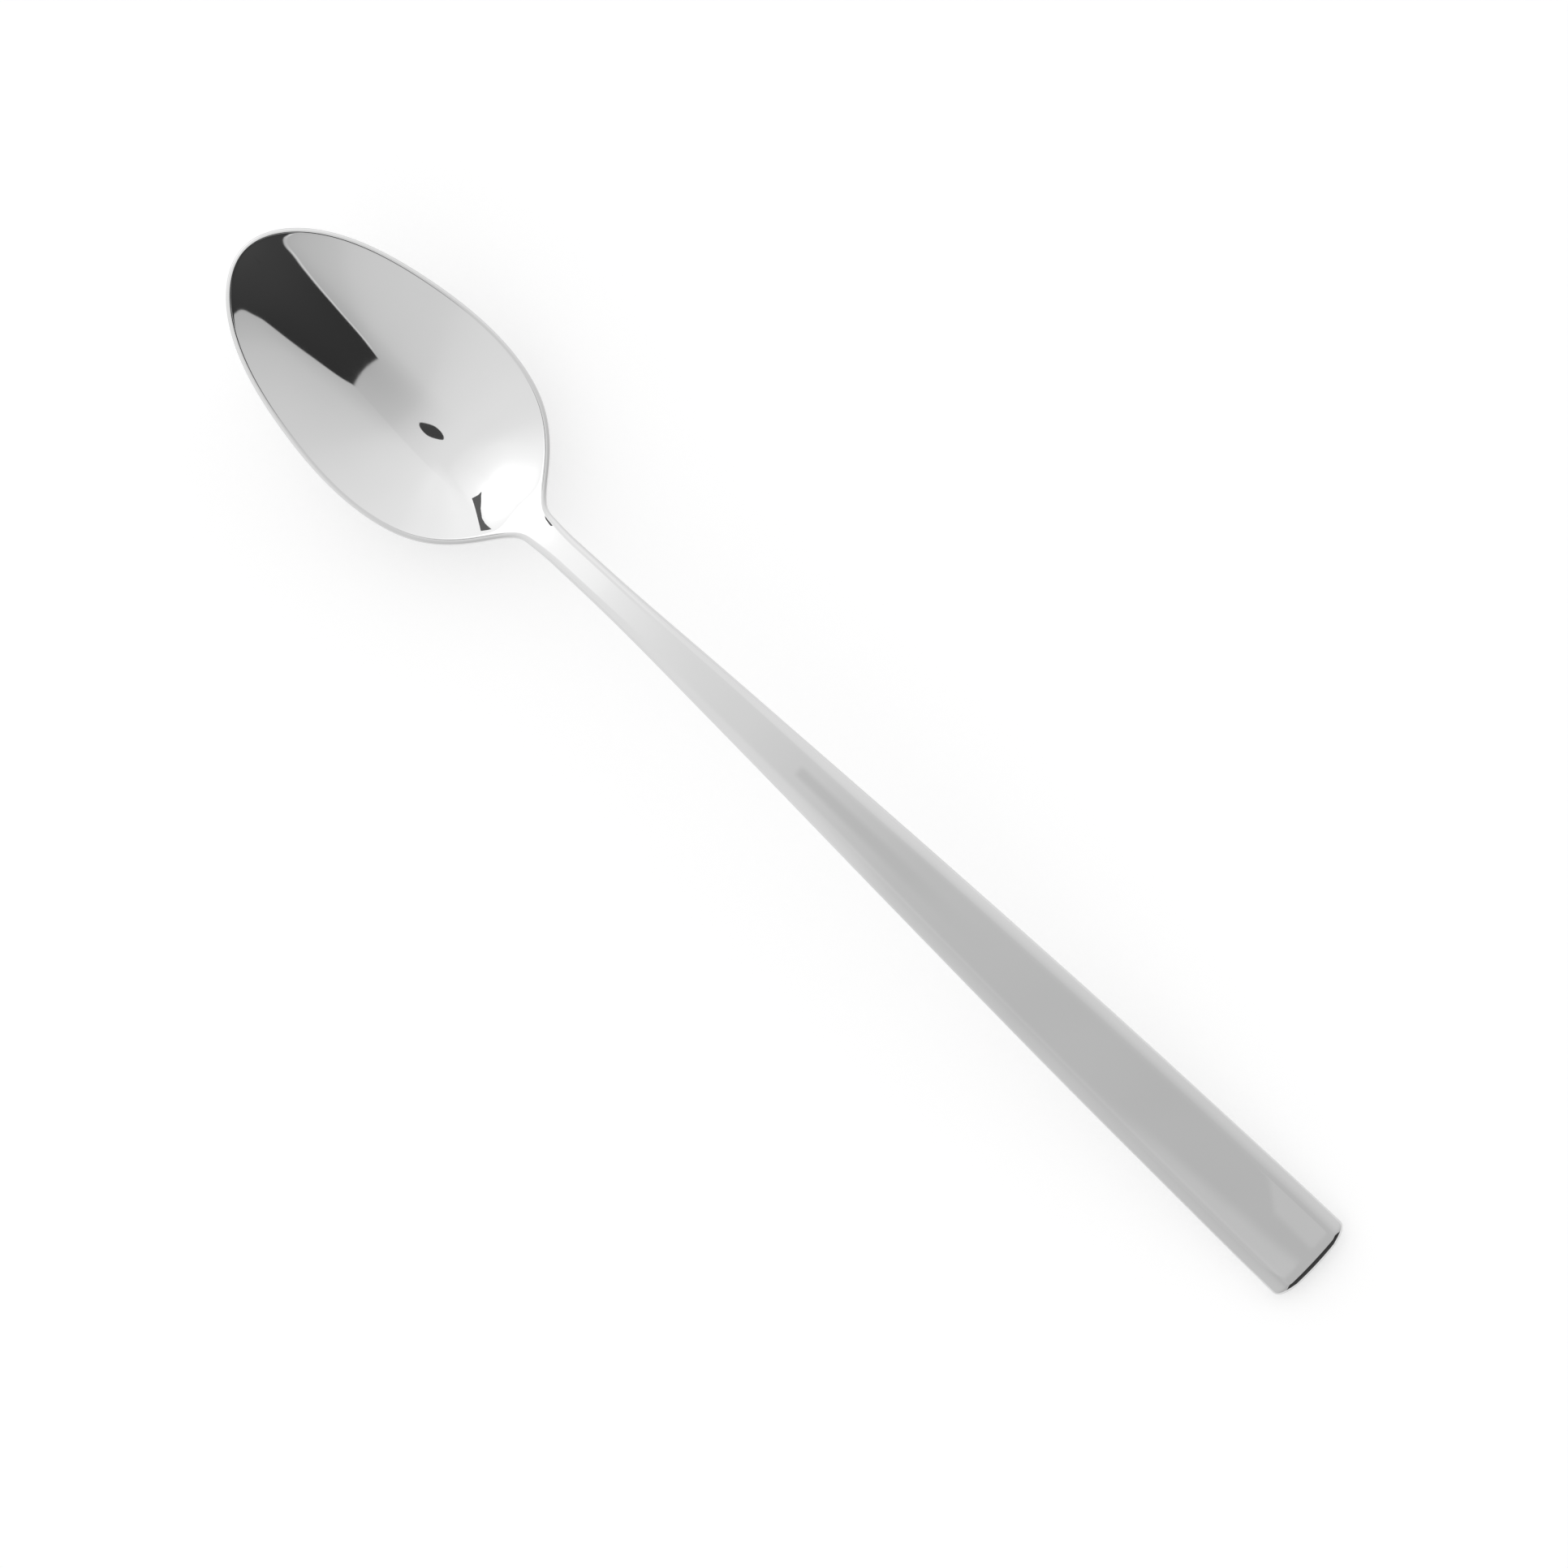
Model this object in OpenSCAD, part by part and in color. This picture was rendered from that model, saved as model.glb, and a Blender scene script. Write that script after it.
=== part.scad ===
// Iced tea spoon: a long slim spoon forged in one piece from stainless steel and polished all over.
// Millimetres. +X runs from the bowl to the handle's end, +Y is across, +Z is up and the bowl opens upwards.
// The spoon lies as it would on a table: it rests on the underside of the bowl and on the end of the handle.
// The origin is under the middle of the whole spoon, on the table.
// The bowl, the neck and the handle are three consecutive lengths of the one bar and meet face to face.

/* [Spoon] */
// Overall length from the bowl's tip to the handle's end
spoon_len = 190; // [180:1:200]

/* [Bowl] */
// Greatest width of the bowl
bowl_w = 29; // [27:0.5:31]
// Greatest depth of the inside of the bowl under its rim
bowl_depth = 7.4; // [6.4:0.1:8]
// Width of the flat lip that runs round the rim
lip_w = 0.65; // [0.55:0.05:0.8]

/* [Neck] */
// Width of the neck at its slimmest
neck_w = 4.4; // [4.2:0.1:5]
// Thickness of the edge of the neck where it leaves the bowl
neck_t = 3.0; // [2.6:0.1:3.4]

/* [Handle] */
// Width of the handle at its end
end_w = 12.7; // [11:0.1:14]
// Thickness of the handle's long edges
edge_t = 2.4; // [2.2:0.1:2.8]
// How far the middle of the top face stands above its long edges
crown = 0.25; // [0.1:0.05:0.4]
// Radius that rounds the edges of the end face
end_r = 1.05; // [0.5:0.05:1.05]
// How far the end face bows outwards in the middle
end_bow = 0.4; // [0:0.1:0.8]
// Radius of the two corners of the end, seen from above
corner_r = 1.5; // [1.2:0.1:2]

/* [Hidden] */

base_len = 190;          // the length that the stations below are written for
x_neck = 58;             // the bowl ends and the neck starts here, at the slimmest place
x_handle = 96;           // the neck ends and the handle starts here
kx = spoon_len / base_len;
kb = bowl_w / 29;
kn = neck_w / 4.4;
ke = end_w / 12.7;
kd = bowl_depth / 7.4;

across = 16;             // divisions across the top and the underside
bowl_rows = 36;          // rows from the neck to the tip

// ---- stations along the spoon: distance from the tip, then the value there
// half the width of the outline of the bowl
edge_bowl = [[0, 0], [4, 7.25 * kb], [10, 10.82 * kb], [20, 13.57 * kb], [29, 14.5 * kb], [36.5, 13.8 * kb],
             [42, 11.75 * kb], [46.2, 8.25 * kb], [49, 4.75 * kb], [50.8, 2.85 * kn], [52.5, 2.35 * kn],
             [55, 2.2 * kn], [58, 2.2 * kn]];
// half the width of the outline of the neck and the handle
edge_bar = [[58, 2.2 * kn], [64, 2.26 * kn], [71, 2.46 * kn], [80, 2.84], [95, 3.45], [110, 4.1 * ke],
            [125, 4.7 * ke], [140, 5.25 * ke], [155, 5.7 * ke], [170, 6.03 * ke], [182, 6.27 * ke], [190, 6.35 * ke]];
// half the width of the hollow, inside the lip
edge_hollow = [[lip_w, 0], [4, 7.25 * kb - 1.4 * lip_w], [10, 10.82 * kb - 1.15 * lip_w], [20, 13.57 * kb - 1.04 * lip_w],
               [29, 14.5 * kb - lip_w], [36.5, 13.8 * kb - 1.05 * lip_w], [42, 11.75 * kb - 1.3 * lip_w],
               [46.2, 8.25 * kb - 1.75 * lip_w], [49, 4.75 * kb - 2.3 * lip_w], [51, 2.75 * kn - 1.7 * lip_w],
               [53, 1.15 * kn], [56, 0.8 * kn], [60, 0.7 * kn]];
// height of the rim, and of the long upper edges of the bar, with the bar's outer half level
rim_line = [[0, 7.8], [10, 8], [20, 8.2], [30, 8.6], [37, 9.2], [43, 10.1], [50, 12], [56, 14.6], [62, 17.2],
            [68, 19.5], [74, 21.4], [80, 22.8], [88, 24.2], [98, 25.4], [110, 26.3], [124, 26.9], [140, 27.1],
            [165, 27.1], [190, 27.1]];
// depth of the hollow, in millimetres for each 100 square millimetres of the hollow's half width squared
hollow_line = [[0, 5.9], [3, 4.65], [6, 4.1], [10, 3.8], [15, 3.7], [20, 3.73], [26, 3.8], [32, 3.88], [36, 3.95],
               [40, 4], [43, 3.87], [46, 3.87], [49, 4.75], [51, 6], [53, 5], [56, 2], [60, 0]];
// the same for the fall of the underside from the foot of the rim to the middle
belly_line = [[0, 4.8], [3, 4.08], [6, 3.67], [10, 3.49], [15, 3.47], [20, 3.54], [26, 3.6], [32, 3.68], [36, 3.79],
              [40, 3.9], [42.5, 3.93], [46, 4.45], [49, 6.8], [51, 10.3], [53, 12], [58, 10.3]];
// how much gentler the bowl falls beside the rim than a parabola with the same depth
gentle_line = [[0, 0.4], [40, 0.4], [58, 0]];
// the same for the neck and the handle
keel_line = [[58, 0.5], [72, 0.42], [96, 0.36], [130, 0.35], [190, 0.35]];
// height of the side from its upper to its lower edge
side_line = [[0, 1], [24, 1], [39, 1.05], [45, 1.4], [50, 2.4], [55, neck_t - 0.05], [62, neck_t], [80, neck_t - 0.35],
             [110, edge_t + 0.05], [150, edge_t], [190, edge_t]];
// width of the lip, which turns into the rounded long edges of the bar
lip_line = [[0, lip_w], [30, lip_w], [46, lip_w + 0.05], [58, 1], [80, 1.35], [110, 1.9], [150, 2.2], [190, 2.3]];
// width and height of the rounding of the upper edges
round_w = [[0, 0.55], [30, 0.55], [46, 0.6], [58, 0.95], [80, 1.35], [110, 1.9], [150, 2.2], [190, 2.3]];
round_h = [[0, 0.4], [30, 0.4], [46, 0.45], [58, 0.9], [80, 1], [110, 1], [180, 1], [190, 1.05]];
// how flat the rounding of the upper edges is: 1 is a quarter of an ellipse, and a larger number is nearer a bevel
bevel_line = [[0, 1], [58, 1], [110, 1.3], [190, 1.3]];
// width and height of the rounding of the lower edges
under_w = [[0, 0.45], [30, 0.45], [46, 0.6], [58, 1.2], [80, 1.25], [190, 1.25]];
under_h = [[0, 0.3], [30, 0.3], [46, 0.45], [58, 1], [80, 0.95], [180, 0.95], [190, 1]];
// how far the top face is crowned, as a share of crown
crown_line = [[0, 0], [54, 0], [60, 0.1], [76, 0.75], [96, 1], [190, 1]];

// ---- a smooth curve through stations: the natural cubic spline
function sweep(p, i = 1, a = [[0, 0]]) =
    i > len(p) - 2 ? a :
    let (h0 = p[i][0] - p[i - 1][0], h1 = p[i + 1][0] - p[i][0],
         b = 2 * (h0 + h1) - h0 * a[i - 1][0],
         r = 6 * ((p[i + 1][1] - p[i][1]) / h1 - (p[i][1] - p[i - 1][1]) / h0) - h0 * a[i - 1][1])
    sweep(p, i + 1, concat(a, [[h1 / b, r / b]]));
function unwind(a, i, m = [0]) = i < 1 ? concat([0], m) : unwind(a, i - 1, concat([a[i][1] - a[i][0] * m[0]], m));
function bend(p) = unwind(sweep(p), len(p) - 2);
function place(p, x, i = 0) = (i >= len(p) - 2 || x < p[i + 1][0]) ? i : place(p, x, i + 1);
function curve(p, m, x) =
    let (i = place(p, x), h = p[i + 1][0] - p[i][0], a = x - p[i][0], b = p[i + 1][0] - x)
    m[i] * b * b * b / (6 * h) + m[i + 1] * a * a * a / (6 * h)
    + (p[i][1] / h - m[i] * h / 6) * b + (p[i + 1][1] / h - m[i + 1] * h / 6) * a;
function slope(p, m, x) =
    let (i = place(p, x), h = p[i + 1][0] - p[i][0], a = x - p[i][0], b = p[i + 1][0] - x)
    -m[i] * b * b / (2 * h) + m[i + 1] * a * a / (2 * h)
    - (p[i][1] / h - m[i] * h / 6) + (p[i + 1][1] / h - m[i + 1] * h / 6);
function within(x, lo, hi) = min(max(x, lo), hi);
// straight runs between stations, eased at each one
function ease(p, x) = let (i = place(p, x), t = within((x - p[i][0]) / (p[i + 1][0] - p[i][0]), 0, 1), s = t * t * (3 - 2 * t))
    p[i][1] * (1 - s) + p[i + 1][1] * s;

// ---- the outline: its half width squared is what is smoothed in the bowl, so that the tip comes out round
square_bowl = [for (q = edge_bowl) [q[0], q[1] * q[1]]];
square_bend = bend(square_bowl);
bar_bend = bend(edge_bar);
function half2(x) = x < x_neck ? max(curve(square_bowl, square_bend, x), 0) : pow(curve(edge_bar, bar_bend, x), 2);
function half2_slope(x) = x < x_neck ? slope(square_bowl, square_bend, x)
    : 2 * curve(edge_bar, bar_bend, x) * slope(edge_bar, bar_bend, x);
// the corners of the end are rounded in plan
function half(x) = let (c = x - (190 - corner_r)) sqrt(half2(x)) - (c > 0 ? corner_r - sqrt(max(corner_r * corner_r - c * c, 0)) : 0);
// half width squared of the hollow
square_hollow = [for (q = edge_hollow) [q[0], q[1] * q[1]]];
inner_bend = bend(square_hollow);
function inner2(x) = curve(square_hollow, inner_bend, min(x, 60));

rim_bend = bend(rim_line);
function rim(x) = curve(rim_line, rim_bend, x);
hollow_bend = bend(hollow_line);
function hollow(x) = x < 60 ? max(curve(hollow_line, hollow_bend, x), 0) * kd / kb / kb / 100 : 0;
belly_bend = bend(belly_line);
keel_bend = bend(keel_line);
side_bend = bend(side_line);
crown_bend = bend(crown_line);
function belly(x) = x < x_neck ? curve(belly_line, belly_bend, x) * (x < 48 ? kd / kb / kb : 1 + (kd / kb / kb - 1) * (x_neck - x) / 10) / 100
    : curve(keel_line, keel_bend, x) / half2(x);
function side(x) = x < 20 ? 1 : curve(side_line, side_bend, x);
function crowned(x) = x < 54 ? 0 : crown * max(curve(crown_line, crown_bend, x), 0);
// the inner edge of the lip is rounded by this much
soft = 0.05;
function basin(x, y) = let (i2 = inner2(x), c = ease(gentle_line, x),
    f = hollow(x) * (i2 - y * y) * (1 + c * max((i2 - y * y) / max(i2, 0.01), 0)) / (1 + c))
    x > 60 ? 0 : 0.5 * (f + sqrt(f * f + pow(soft * within(hollow(x) * 40, 0, 1), 2)));

// heights of the top and of the underside, before the edges are rounded
function top_z(x, y) = rim(x) - basin(x, y) + crowned(x) * (1 - y * y / max(half2(x), 0.01));
function under_z(x, y) = let (h2 = half2(x), c = ease(gentle_line, x))
    rim(x) - side(x) - belly(x) * (h2 - y * y) * (1 + c * (h2 - y * y) / max(h2, 0.01)) / (1 + c);

// the lowest places under the bowl and under the handle's end: both come down to z = 0
end_z = under_z(base_len - end_r, 0);
function slant(x) = (end_z - under_z(x, 0)) / (base_len - end_r - x);
tilt = max([for (x = [24:0.1:42]) slant(x)]);
function table(x) = end_z - tilt * (base_len - end_r - x);

turns = [0, 30, 60, 90];
// one ring level: [inset from the outline, drop from the top or rise from the underside, 1 for the top or -1 for the underside]
function levels(x, e = 0) = concat(
    [[ease(lip_line, x) + (ease(round_w, x) < ease(lip_line, x) - 0.01 ? 0 : 0.12), e, 1]],
    [for (i = [3:-1:0]) let (v = ease(bevel_line, x))
        [e + (ease(round_w, x) - e) * (1 - pow(cos(turns[i]), v)), e + (ease(round_h, x) - e) * (1 - pow(sin(turns[i]), v)), 1]],
    [for (i = [0:3]) [e + (ease(under_w, x) - e) * (1 - cos(turns[i])), e + (ease(under_h, x) - e) * (1 - sin(turns[i])), -1]]);

// a point of the edge at station x, moved in from the outline by level l, on the side s = 1 or -1
function edge_point(x, l, s) =
    let (w = half(x), g = half2_slope(x) / 2, n = sqrt(g * g + w * w),
         flat = x >= x_neck,
         px = flat ? x : x + l[0] * g / n,
         py = flat ? w - l[0] : w - l[0] * w / n)
    [px, s * py, l[2] > 0 ? top_z(px, py) - l[1] : under_z(px, py) + l[1]];

// one closed row: the top from +Y to -Y, down the -Y edge, back along the underside and up the +Y edge
function row(x, e = 0) =
    let (v = levels(x, e), k = len(v) - 1,
         a = edge_point(x, v[0], 1), b = edge_point(x, v[k], 1))
    concat(
        [for (j = [0:across]) let (y = a[1] * (1 - 2 * j / across)) [a[0], y, top_z(a[0], y) - e]],
        [for (j = [1:k]) edge_point(x, v[j], -1)],
        [for (j = [1:across - 1]) let (y = -b[1] * (1 - 2 * j / across)) [b[0], y, under_z(b[0], y) + e]],
        [for (j = [k:-1:1]) edge_point(x, v[j], 1)]);

// bows the end face, more so lower down, and leans it so that it stays square to the sloping handle
function bowed(p) = let (t = within((p[0] - 182) / 8, 0, 1), low = top_z(p[0], 0) - p[2])
    [p[0] - t * t * (end_bow * (0.7 + 0.5 * low) * p[1] * p[1] / half2(190) + tilt * low), p[1], p[2]];
// puts a point in the part's own frame
function laid(p) = [(p[0] - base_len / 2) * kx, p[1], p[2] - table(p[0])];

ring = 2 * across + 16;
function lofted_faces(rows) = [for (r = [0:rows - 2], j = [0:ring - 1])
    each [[r * ring + j, r * ring + (j + 1) % ring, (r + 1) * ring + j],
          [r * ring + (j + 1) % ring, (r + 1) * ring + (j + 1) % ring, (r + 1) * ring + j]]];

// a length of the bar, through the rows given as [station, inset]
module bar(stations) {
    n = len(stations);
    pts = [for (s = stations) each [for (p = row(s[0], s[1])) laid(bowed(p))]];
    x0 = stations[0][0];
    mid0 = laid([x0, 0, (top_z(x0, 0) + under_z(x0, 0)) / 2]);
    x1 = stations[n - 1][0];
    mid1 = laid(bowed([x1, 0, (top_z(x1, 0) + under_z(x1, 0)) / 2]));
    polyhedron(
        points = concat(pts, [mid0, mid1]),
        faces = concat(
            lofted_faces(n),
            [for (j = [0:ring - 1]) [n * ring, (j + 1) % ring, j]],
            [for (j = [0:ring - 1]) [n * ring + 1, (n - 1) * ring + j, (n - 1) * ring + (j + 1) % ring]]),
        convexity = 4);
}

// The hollow end with its rounded lip, from the tip to the slimmest place of the neck
module bowl() {
    rows =[for (i = [0:bowl_rows - 1]) let (t = 90 * (1 - i / bowl_rows)) row(x_neck * (1 - cos(t)))];
    pts = [for (r = rows) each [for (p = r) laid(p)]];
    v = levels(0);
    tip = [for (l = v) laid(edge_point(0, l, 1))];
    n = bowl_rows;
    last = (n - 1) * ring;
    t0 = n * ring;
    k = len(v) - 1;
    mid = laid([x_neck, 0, (top_z(x_neck, 0) + under_z(x_neck, 0)) / 2]);
    color("silver")
    polyhedron(
        points = concat(pts, tip, [mid]),
        faces = concat(
            [for (f = lofted_faces(n)) [f[0], f[2], f[1]]],
            // the top runs into the tip's inner point
            [for (j = [0:across - 1]) [last + j, t0, last + j + 1]],
            // the -Y edge
            [for (j = [0:k - 1]) each [[last + across + j, t0 + j, last + across + j + 1],
                                       [last + across + j + 1, t0 + j, t0 + j + 1]]],
            // the underside
            [for (j = [0:across - 1]) [last + across + k + j, t0 + k, last + across + k + j + 1]],
            // the +Y edge
            [for (j = [0:k - 1]) let (a = last + 2 * across + k + j, b = last + (2 * across + k + j + 1) % ring)
                each [[a, t0 + k - j, b], [b, t0 + k - j, t0 + k - j - 1]]],
            [for (j = [0:ring - 1]) [t0 + k + 1, j, (j + 1) % ring]]),
        convexity = 6);
}

// The slim rounded length next to the bowl
module neck() {
    color("silver")
    bar([for (i = [0:19]) [x_neck + (x_handle - x_neck) * i / 19, 0]]);
}

// The long flat handle, which widens towards its square end
module handle() {
    color("silver")
    bar(concat(
        [for (i = [0:23]) [x_handle + (190 - end_r - 4 - x_handle) * i / 23, 0]],
        [[190 - end_r - 2.6, 0], [190 - end_r - 1.2, 0], [190 - end_r - 0.6, 0], [190 - end_r - 0.3, 0]],
        [for (t = [0:18:90]) [190 - end_r + end_r * sin(t), end_r * (1 - cos(t))]]));
}

bowl();
neck();
handle();
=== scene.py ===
"""Iced tea spoon: the looks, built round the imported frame. Metres, +X from the bowl to the handle's end, +Z up."""
import math

import bpy
import numpy as np
from mathutils import Matrix, Vector


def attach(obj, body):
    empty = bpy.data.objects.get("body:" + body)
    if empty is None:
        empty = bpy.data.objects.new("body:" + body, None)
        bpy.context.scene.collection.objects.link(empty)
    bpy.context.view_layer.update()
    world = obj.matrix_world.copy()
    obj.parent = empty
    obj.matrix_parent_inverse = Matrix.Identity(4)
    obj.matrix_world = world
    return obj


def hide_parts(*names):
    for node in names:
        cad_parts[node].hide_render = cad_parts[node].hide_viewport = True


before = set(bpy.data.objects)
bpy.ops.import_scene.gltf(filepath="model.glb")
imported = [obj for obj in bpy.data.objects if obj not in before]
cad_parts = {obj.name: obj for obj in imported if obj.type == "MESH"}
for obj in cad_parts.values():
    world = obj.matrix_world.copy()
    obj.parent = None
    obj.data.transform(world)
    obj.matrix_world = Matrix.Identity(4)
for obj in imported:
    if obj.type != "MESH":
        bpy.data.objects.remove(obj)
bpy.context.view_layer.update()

# ---------------------------------------------------------------- the spoon's shape, in millimetres
# x runs from the bowl's tip (0) to the handle's end (190). The stations are the ones that the CAD model is made from.
LEN = 190.0
LIP = 0.65
NECK_T = 3.0
EDGE_T = 2.4
CROWN = 0.25
END_R = 1.05
END_BOW = 0.4
CORNER_R = 1.5
X_NECK = 58.0
X_HANDLE = 96.0
SOFT = 0.05


class Spline:
    """Natural cubic spline through stations."""

    def __init__(self, pts):
        self.x = np.array([p[0] for p in pts], float)
        self.y = np.array([p[1] for p in pts], float)
        n = len(pts)
        m = np.zeros(n)
        h = np.diff(self.x)
        a = np.zeros((n - 2, n - 2))
        r = np.zeros(n - 2)
        for i in range(1, n - 1):
            a[i - 1, i - 1] = 2 * (h[i - 1] + h[i])
            if i > 1:
                a[i - 1, i - 2] = h[i - 1]
            if i < n - 2:
                a[i - 1, i] = h[i]
            r[i - 1] = 6 * ((self.y[i + 1] - self.y[i]) / h[i] - (self.y[i] - self.y[i - 1]) / h[i - 1])
        m[1:-1] = np.linalg.solve(a, r)
        self.m = m

    def _seg(self, x):
        i = np.clip(np.searchsorted(self.x, x, side="right") - 1, 0, len(self.x) - 2)
        return i, self.x[i + 1] - self.x[i], x - self.x[i], self.x[i + 1] - x

    def __call__(self, x):
        x = np.asarray(x, float)
        i, h, a, b = self._seg(x)
        return (self.m[i] * b ** 3 / (6 * h) + self.m[i + 1] * a ** 3 / (6 * h)
                + (self.y[i] / h - self.m[i] * h / 6) * b + (self.y[i + 1] / h - self.m[i + 1] * h / 6) * a)

    def slope(self, x):
        x = np.asarray(x, float)
        i, h, a, b = self._seg(x)
        return (-self.m[i] * b ** 2 / (2 * h) + self.m[i + 1] * a ** 2 / (2 * h)
                - (self.y[i] / h - self.m[i] * h / 6) + (self.y[i + 1] / h - self.m[i + 1] * h / 6))


def ease(pts, x):
    """Straight runs between stations, eased at each one."""
    x = np.asarray(x, float)
    px = np.array([p[0] for p in pts], float)
    py = np.array([p[1] for p in pts], float)
    i = np.clip(np.searchsorted(px, x, side="right") - 1, 0, len(px) - 2)
    t = np.clip((x - px[i]) / (px[i + 1] - px[i]), 0, 1)
    s = t * t * (3 - 2 * t)
    return py[i] * (1 - s) + py[i + 1] * s


edge_bowl = [(0, 0), (4, 7.25), (10, 10.82), (20, 13.57), (29, 14.5), (36.5, 13.8), (42, 11.75), (46.2, 8.25), (49, 4.75),
             (50.8, 2.85), (52.5, 2.35), (55, 2.2), (58, 2.2)]
edge_bar = [(58, 2.2), (64, 2.26), (71, 2.46), (80, 2.84), (95, 3.45), (110, 4.1), (125, 4.7), (140, 5.25),
            (155, 5.7), (170, 6.03), (182, 6.27), (190, 6.35)]
edge_hollow = [(LIP, 0), (4, 7.25 - 1.4 * LIP), (10, 10.82 - 1.15 * LIP), (20, 13.57 - 1.04 * LIP), (29, 14.5 - LIP),
               (36.5, 13.8 - 1.05 * LIP), (42, 11.75 - 1.3 * LIP), (46.2, 8.25 - 1.75 * LIP), (49, 4.75 - 2.3 * LIP),
               (51, 2.75 - 1.7 * LIP), (53, 1.15), (56, 0.8), (60, 0.7)]
rim_line = [(0, 7.8), (10, 8), (20, 8.2), (30, 8.6), (37, 9.2), (43, 10.1), (50, 12), (56, 14.6), (62, 17.2),
            (68, 19.5), (74, 21.4), (80, 22.8), (88, 24.2), (98, 25.4), (110, 26.3), (124, 26.9), (140, 27.1),
            (165, 27.1), (190, 27.1)]
hollow_line = [(0, 5.9), (3, 4.65), (6, 4.1), (10, 3.8), (15, 3.7), (20, 3.73), (26, 3.8), (32, 3.88), (36, 3.95),
               (40, 4), (43, 3.87), (46, 3.87), (49, 4.75), (51, 6), (53, 5), (56, 2), (60, 0)]
belly_line = [(0, 4.8), (3, 4.08), (6, 3.67), (10, 3.49), (15, 3.47), (20, 3.54), (26, 3.6), (32, 3.68), (36, 3.79),
              (40, 3.9), (42.5, 3.93), (46, 4.45), (49, 6.8), (51, 10.3), (53, 12), (58, 10.3)]
gentle_line = [(0, 0.4), (40, 0.4), (58, 0)]
keel_line = [(58, 0.5), (72, 0.42), (96, 0.36), (130, 0.35), (190, 0.35)]
side_line = [(0, 1), (24, 1), (39, 1.05), (45, 1.4), (50, 2.4), (55, NECK_T - 0.05), (62, NECK_T),
             (80, NECK_T - 0.35), (110, EDGE_T + 0.05), (150, EDGE_T), (190, EDGE_T)]
lip_line = [(0, LIP), (30, LIP), (46, LIP + 0.05), (58, 1), (80, 1.35), (110, 1.9), (150, 2.2), (190, 2.3)]
round_w = [(0, 0.55), (30, 0.55), (46, 0.6), (58, 0.95), (80, 1.35), (110, 1.9), (150, 2.2), (190, 2.3)]
bevel_line = [(0, 1), (58, 1), (110, 1.3), (190, 1.3)]
round_h = [(0, 0.4), (30, 0.4), (46, 0.45), (58, 0.9), (80, 1), (110, 1), (180, 1), (190, 1.05)]
under_w = [(0, 0.45), (30, 0.45), (46, 0.6), (58, 1.2), (80, 1.25), (190, 1.25)]
under_h = [(0, 0.3), (30, 0.3), (46, 0.45), (58, 1), (80, 0.95), (180, 0.95), (190, 1)]
crown_line = [(0, 0), (54, 0), (60, 0.1), (76, 0.75), (96, 1), (190, 1)]

s_bowl = Spline([(x, w * w) for x, w in edge_bowl])
s_bar = Spline(edge_bar)
s_rim = Spline(rim_line)
s_hollow = Spline(hollow_line)
s_inner = Spline([(x, w * w) for x, w in edge_hollow])
s_belly = Spline(belly_line)
s_keel = Spline(keel_line)
s_side = Spline(side_line)
s_crown = Spline(crown_line)


def half2(x):
    x = np.asarray(x, float)
    return np.where(x < X_NECK, np.maximum(s_bowl(np.minimum(x, X_NECK)), 0), s_bar(np.maximum(x, X_NECK)) ** 2)


def half2_slope(x):
    x = np.asarray(x, float)
    xb = np.maximum(x, X_NECK)
    return np.where(x < X_NECK, s_bowl.slope(np.minimum(x, X_NECK)), 2 * s_bar(xb) * s_bar.slope(xb))


def half(x):
    c = np.maximum(np.asarray(x, float) - (LEN - CORNER_R), 0)
    return np.sqrt(half2(x)) - (CORNER_R - np.sqrt(np.maximum(CORNER_R ** 2 - c * c, 0)))


def inner2(x):
    return s_inner(np.minimum(np.asarray(x, float), 60.0))


def hollow(x):
    x = np.asarray(x, float)
    return np.where(x < 60, np.maximum(s_hollow(np.minimum(x, 60)), 0), 0) / 100


def basin(x, y):
    h = hollow(x)
    i2 = inner2(x)
    c = ease(gentle_line, x)
    f = h * (i2 - y * y) * (1 + c * np.maximum((i2 - y * y) / np.maximum(i2, 0.01), 0)) / (1 + c)
    return np.where(np.asarray(x) > 60, 0, 0.5 * (f + np.sqrt(f * f + (SOFT * np.minimum(h * 40, 1)) ** 2)))


def belly(x):
    x = np.asarray(x, float)
    return np.where(x < X_NECK, s_belly(np.minimum(x, X_NECK)) / 100, s_keel(np.maximum(x, X_NECK)) / half2(x))


def side(x):
    x = np.asarray(x, float)
    return np.where(x < 20, 1.0, s_side(x))


def crowned(x):
    x = np.asarray(x, float)
    return np.where(x < 54, 0, CROWN * np.maximum(s_crown(x), 0))


def top0(x, y):
    return s_rim(x) - basin(x, y) + crowned(x) * (1 - y * y / np.maximum(half2(x), 0.01))


def under0(x, y):
    h2 = half2(x)
    c = ease(gentle_line, x)
    return s_rim(x) - side(x) - belly(x) * (h2 - y * y) * (1 + c * (h2 - y * y) / np.maximum(h2, 0.01)) / (1 + c)


END_Z = float(under0(LEN - END_R, 0.0))
_xs = np.arange(24, 42.01, 0.1)
TILT = float(((END_Z - under0(_xs, 0 * _xs)) / (LEN - END_R - _xs)).max())


def table(x):
    return END_Z - TILT * (LEN - END_R - np.asarray(x, float))


# ---------------------------------------------------------------- rows of points round the bar
ACROSS = 88          # divisions across the top and across the underside
TURN = 9             # divisions of each rounded edge


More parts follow.
